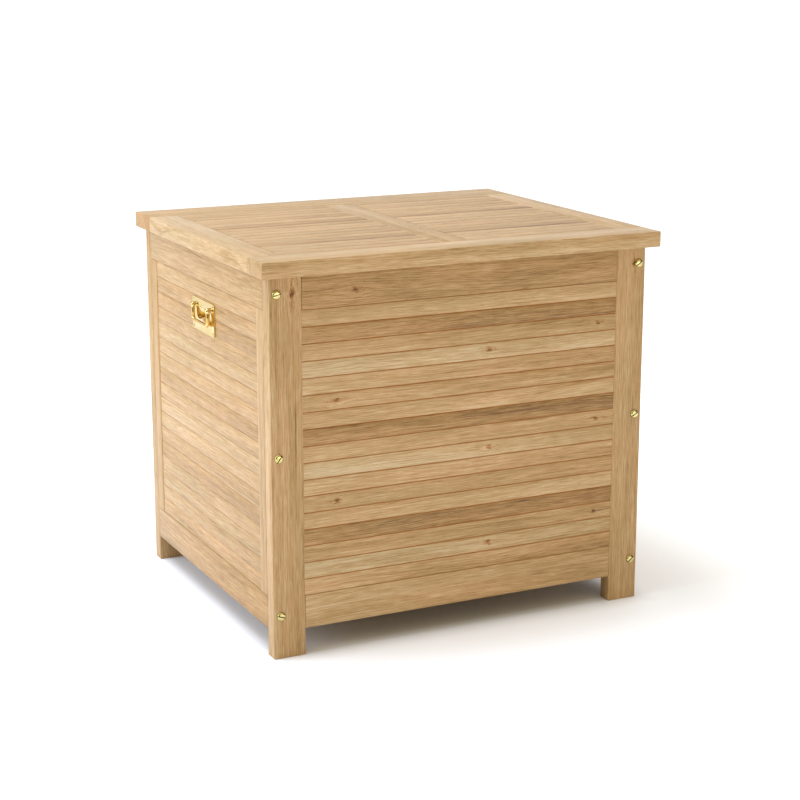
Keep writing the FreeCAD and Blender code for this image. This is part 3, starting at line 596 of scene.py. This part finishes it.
# painted shade, with some tarnish: near-black brass on the floors of slots and recesses
recess_shade_and_tarnish = brass_material("recess_tarnish_and_painted_shade", (0.06, 0.055, 0.03, 1), (0.11, 0.09, 0.04, 1), 0.5)


# --- box body -----------------------------------------------------------------------------------
# Shades are added to the wood's tone: -0.3 is a dark board and 0.2 a pale one.  Each pair is for
# the board's two ends, from left to right, from front to back or from the bottom up.

FRONT_SHADES = (   # shade, hue and knot of each slat from the top down, then over again
    ((0.05, 0.10), 0.0, NO_KNOT),
    ((-0.10, -0.23), 0.10, NO_KNOT),
    ((0.05, 0.02), -0.03, (0.94, 0.5, 0.005)),
    ((0.20, 0.07), -0.18, (0.58, 0.55, 0.006)),
    ((0.14, -0.05), 0.12, NO_KNOT),
    ((0.06, -0.03), 0.08, (0.10, 0.5, 0.006)),
)
LEFT_SHADES = (    # from the top down; each darker towards its front end
    ((-0.05, 0.06), 0.0, NO_KNOT),
    ((-0.05, 0.02), 0.08, NO_KNOT),
    ((-0.12, -0.03), 0.10, NO_KNOT),
    ((-0.05, 0.03), 0.0, NO_KNOT),
    ((0.01, 0.10), -0.08, NO_KNOT),
)
LID_SHADES = (     # from the front back
    ((0.04, -0.06), 0.0, NO_KNOT),
    ((0.03, 0.00), 0.0, NO_KNOT),
    ((0.00, -0.05), 0.0, NO_KNOT),
    ((-0.12, -0.22), 0.12, NO_KNOT),
    ((0.00, 0.02), 0.0, NO_KNOT),
    ((0.04, -0.08), 0.1, NO_KNOT),
    ((0.04, -0.07), 0.0, NO_KNOT),
)


def slats(node, across, along, through, way, shades, start, flip=False, joint=V_JOINT):
    """The slats of one panel or of one field of the lid, from its node's box.

    Their faces look in the direction way along the axis through.  The shades begin at the
    number start; flip turns each slat end for end.
    """
    bevel, gap, stain_and_shade = joint
    low, high = (Vector(corner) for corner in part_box(node))
    pitch = (high[across] - low[across] + gap) / SLATS
    boards = []
    for number in range(SLATS):
        first, last = low.copy(), high.copy()
        first[across] = low[across] + number * pitch
        last[across] = first[across] + pitch - gap
        place = SLATS - 1 - number if across == Z else number
        shade, hue, knot = shades[(place + start) % len(shades)]
        if flip:
            shade = shade[::-1]
        jitter = rng.uniform(-0.025, 0.025)
        shade = (shade[0] + jitter, shade[1] + jitter)
        boards.append(Board(first, last, along, through, shade, hue, knot, way))
    wooden(node, boards, teak, bevel, stain_and_shade)


def plain(node, along, through, shade, hue=0, knot=NO_KNOT, seats=()):
    """One plain board, from its node's box."""
    low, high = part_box(node)
    wooden(node, [Board(low, high, along, through, shade, hue, knot, seats=seats)], teak)


def leaf_seats(leaf):
    """The seats of the two hinge leaves of one kind, let in flush with the face of their rail."""
    seats = []
    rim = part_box("back_top_rail")[1][Z]
    play = Vector((LEAF_PLAY, LEAF_PLAY, 0))
    for side in ("left", "right"):
        low, high = (Vector(corner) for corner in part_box("%s_hinge_%s_leaf" % (side, leaf)))
        low[Z], high[Z] = rim - LEAF, rim + LEAF
        seats.append((low - play, high + play))
    return seats


def row(node, axis, count, width, along, through):
    """Bare boards spread evenly along an axis of their node's box."""
    boards = [Board(low, high, along, through, (rng.uniform(-0.1, 0.1),) * 2)
              for low, high in split(node, axis, count, width)]
    wooden(node, boards, inner_teak)


def make_body():
    """Four posts, the rails, stiles, slats and battens of four panels, and the floor."""
    plain("front_left_post", Z, Y, (0.03, 0.05), 0.05, (0.955, 0.72, 0.008))
    plain("front_right_post", Z, Y, (0.03, 0.05), 0.0, (0.955, 0.62, 0.006))
    plain("back_left_post", Z, Y, (0.0, 0.05))
    plain("back_right_post", Z, Y, (0.03, -0.05))
    plain("front_top_rail", X, Y, (-0.12, -0.07), 0.1, (0.16, 0.45, 0.006))
    plain("front_bottom_rail", X, Y, (0.11, -0.04), 0.12)
    plain("back_top_rail", X, Y, (0.0, -0.05), seats=leaf_seats("box"))
    plain("back_bottom_rail", X, Y, (-0.1, 0.02))
    slats("front_slats", Z, X, Y, -1, FRONT_SHADES, 0)
    slats("back_slats", Z, X, Y, 1, FRONT_SHADES, 2, flip=True)
    slats("left_slats", Z, Y, X, -1, LEFT_SHADES, 0, joint=TIGHT_JOINT)
    slats("right_slats", Z, Y, X, 1, LEFT_SHADES, 3, joint=TIGHT_JOINT)
    for side in ("left", "right"):
        plain(side + "_top_rail", Y, X, (0.0, 0.02))
        plain(side + "_bottom_rail", Y, X, (-0.10, 0.0), 0.1)
        plain(side + "_front_stile", Z, X, (-0.02, 0.02))
        plain(side + "_back_stile", Z, X, (0.04, 0.0))
        row(side + "_battens", Y, BATTENS, BATTEN_WIDTH, Z, X)
    for face in ("front", "back"):
        row(face + "_battens", X, BATTENS, BATTEN_WIDTH, Z, Y)
    row("floor_cleats", Y, CLEATS, CLEAT_WIDTH, X, Z)
    low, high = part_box("floor_boards")
    width = (high[X] - low[X] + FLOOR_GAP) / FLOOR_BOARDS - FLOOR_GAP
    row("floor_boards", X, FLOOR_BOARDS, width, Y, Z)


def make_lid():
    """Rails, stiles and two fields of slats, with a batten under each end of each field."""
    plain("lid_front_rail", X, Z, (0.06, 0.10))
    plain("lid_back_rail", X, Z, (-0.02, 0.0), seats=leaf_seats("lid"))
    plain("lid_left_stile", Y, Z, (0.09, 0.09), -0.1)
    plain("lid_centre_stile", Y, Z, (-0.02, 0.02))
    plain("lid_right_stile", Y, Z, (0.0, 0.02))
    slats("lid_left_slats", Y, X, Z, 1, LID_SHADES, 0)
    slats("lid_right_slats", Y, X, Z, 1, LID_SHADES, 0)
    low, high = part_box("lid_battens")
    centre_low, centre_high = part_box("lid_centre_stile")
    battens = []
    for start in (low[X], centre_low[X] - LID_BATTEN_WIDTH, centre_high[X],
                  high[X] - LID_BATTEN_WIDTH):
        shade = rng.uniform(-0.1, 0.1)
        battens.append(Board((start, low[Y], low[Z]), (start + LID_BATTEN_WIDTH, high[Y], high[Z]),
                             Y, Z, (shade, shade)))
    wooden("lid_battens", battens, inner_teak)


# --- brass --------------------------------------------------------------------------------------

BROKEN_EDGE, EDGE_ANGLE = 0.35 * MM, math.radians(35)
ROUND = 40                # sides to a turned piece
WELD = 0.01 * MM


def polished(node):
    """A brass piece with its CAD shape, its seams welded and its edges broken."""
    source = frame["nodes"][node]
    bm = bmesh.new()
    bm.from_mesh(source.data)
    bm.transform(source.matrix_world)
    bmesh.ops.remove_doubles(bm, verts=bm.verts, dist=WELD)
    piece = mesh_piece(node + "_brass", bm, [bail_brass if "bail" in node else brass])
    edge = piece.modifiers.new("broken_edges", "BEVEL")
    edge.width = BROKEN_EDGE
    edge.segments = 2
    edge.limit_method = "ANGLE"
    edge.angle_limit = EDGE_ANGLE
    placed(piece, node)


def half_disc(radius, gap):
    """The outline of one half of a slotted head, as (across, up) with up past half the gap."""
    start = math.asin(gap / 2 / radius)
    count = ROUND // 2
    angles = [start + (math.pi - 2 * start) * i / count for i in range(count + 1)]
    return [(radius * math.cos(a), radius * math.sin(a)) for a in angles]


def lofted(bm, rings, place, top_material=0):
    """Skins a stack of equal rings of (across, up, out) points and caps both ends."""
    loops = [[bm.verts.new(place @ Vector(point)) for point in ring] for ring in rings]
    bm.faces.new(loops[0][::-1])
    bm.faces.new(loops[-1]).material_index = top_material
    for first, second in zip(loops, loops[1:]):
        for i, j in around(first):
            bm.faces.new((first[i], first[j], second[j], second[i]))


def turned(bm, profile, place, top_material=0):
    """A solid of revolution from its (radius, out) profile."""
    angles = [2 * math.pi * i / ROUND for i in range(ROUND)]
    rings = [[(radius * math.cos(a), radius * math.sin(a), out) for a in angles]
             for radius, out in profile]
    lofted(bm, rings, place, top_material)


def slotted_head(bm, profile, slot, slot_depth, place):
    """A turned head from its (radius, out) profile, with a straight slot across its top."""
    top = profile[-1][1]
    floor = top - slot_depth
    below = [point for point in profile if point[1] < floor]
    above = [point for point in profile if point[1] > floor]
    (r0, z0), (r1, z1) = below[-1], above[0]
    waist = r0 + (r1 - r0) * (floor - z0) / (z1 - z0)
    # the slot's floor takes material 1, near-black painted shade with some tarnish
    turned(bm, below + [(waist, floor)], place, top_material=1)
    for turn in (0, math.pi):
        spun = place @ Matrix.Rotation(turn, 4, "Z")
        rings = [[(x, y, out) for x, y in half_disc(radius, slot)]
                 for radius, out in [(waist, floor)] + above]
        lofted(bm, rings, spun)


def facing(place, way, angle):
    """A place whose own +Z looks along a way, turned by an angle about it."""
    return (Matrix.Translation(place) @ Vector(way).to_track_quat("Z", "Y").to_matrix().to_4x4()
            @ Matrix.Rotation(angle, 4, "Z"))


BOLT_INSET, BOLT_DROP, BOLT_PITCH = 12.5 * MM, 27 * MM, 252 * MM
BOLT_HEAD = ((6.6 * MM, -0.2 * MM), (7 * MM, 0.3 * MM), (7 * MM, 1.5 * MM), (6.7 * MM, 2.1 * MM),
             (6.1 * MM, 2.7 * MM), (5.2 * MM, 3.3 * MM), (4.6 * MM, 3.6 * MM), (4.2 * MM, 3.7 * MM))
BOLT_SLOT, BOLT_SLOT_DEPTH = 1.7 * MM, 1.6 * MM
BOLT_RADIUS, BOLT_LENGTH = 3 * MM, 46 * MM
BOLT_ROWS = 3             # to a post
SLOT_TURNS = ((12, 55, -20), (35, 28, 40))    # degrees, from the top down, left then right


def make_bolts():
    """Slotted brass bolts through the posts, each head left at its own angle."""
    bm = bmesh.new()
    post_low, post_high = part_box("front_left_post")
    _, far_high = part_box("back_right_post")
    for face_y, way in ((post_low[Y], -1), (far_high[Y], 1)):
        for turns, x in zip(SLOT_TURNS, (post_low[X] + BOLT_INSET, far_high[X] - BOLT_INSET)):
            for row_number, turn in enumerate(turns):
                z = post_high[Z] - BOLT_DROP - row_number * BOLT_PITCH
                place = facing((x, face_y, z), (0, way, 0), math.radians(turn * -way))
                slotted_head(bm, BOLT_HEAD, BOLT_SLOT, BOLT_SLOT_DEPTH, place)
                turned(bm, ((BOLT_RADIUS, -BOLT_LENGTH), (BOLT_RADIUS, 0)), place)
    placed(mesh_piece("panel_bolts_brass", bm, [bolt_brass, recess_shade_and_tarnish]), "panel_bolts")


NUT_DEPTH = 13.5 * MM     # from the inner face of a post to the middle of its barrel nuts
NUT = ((4.7 * MM, -17.8 * MM), (5 * MM, -17.5 * MM), (5 * MM, 0.15 * MM), (4.6 * MM, 0.4 * MM))
NUT_SLOT, NUT_SLOT_DEPTH = 1.2 * MM, 1.2 * MM


def make_nuts():
    """Slotted barrel nuts, their ends just proud of the inner faces of the side panels."""
    bm = bmesh.new()
    front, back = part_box("front_left_post")[1][Y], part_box("back_left_post")[0][Y]
    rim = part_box("front_left_post")[1][Z]
    for side, way in (("left", 1), ("right", -1)):
        low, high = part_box(side + "_top_rail")
        inner = high[X] if way > 0 else low[X]
        for y in (front + NUT_DEPTH, back - NUT_DEPTH):
            for row_number in range(BOLT_ROWS):
                place = facing((inner, y, rim - BOLT_DROP - row_number * BOLT_PITCH),
                               (way, 0, 0), 0)
                slotted_head(bm, NUT, NUT_SLOT, NUT_SLOT_DEPTH, place)
    placed(mesh_piece("barrel_nuts_brass", bm, [bolt_brass, recess_shade_and_tarnish]), "barrel_nuts")


PLATE = 2.6 * MM
SCREW_INSET, SCREW_DEPTH = 5 * MM, 9 * MM
SCREW_HEAD = ((1.6 * MM, -SCREW_DEPTH), (1.6 * MM, -2 * MM), (3.3 * MM, -0.1 * MM),
              (3.2 * MM, 0), (1.9 * MM, 0), (1.6 * MM, -1.1 * MM))


def make_handle_screws(side, way):
    """Four countersunk screws with driven recesses, in the corners of a handle's plate."""
    low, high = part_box(side + "_handle_plate")
    back = low[X] if way > 0 else high[X]
    bm = bmesh.new()
    for y in (low[Y] + SCREW_INSET, high[Y] - SCREW_INSET):
        for z in (low[Z] + SCREW_INSET, high[Z] - SCREW_INSET):
            place = facing((back + PLATE * way, y, z), (way, 0, 0), 0)
            # the recess's floor takes material 1, near-black painted shade with some tarnish
            turned(bm, SCREW_HEAD, place, top_material=1)
    node = side + "_handle_screws"
    placed(mesh_piece(node + "_brass", bm, [bolt_brass, recess_shade_and_tarnish]), node)


def make_brass():
    """The fasteners that are modelled here, then every other brass node with its CAD shape."""
    make_bolts()
    make_nuts()
    made = {"panel_bolts", "barrel_nuts"}
    for side, way in (("left", -1), ("right", 1)):
        make_handle_screws(side, way)
        made.add(side + "_handle_screws")
    for node, slot in SLOT_OF.items():
        if slot == "brass" and node not in made:
            polished(node)


make_camera()
make_studio()
make_body()
make_lid()
make_brass()
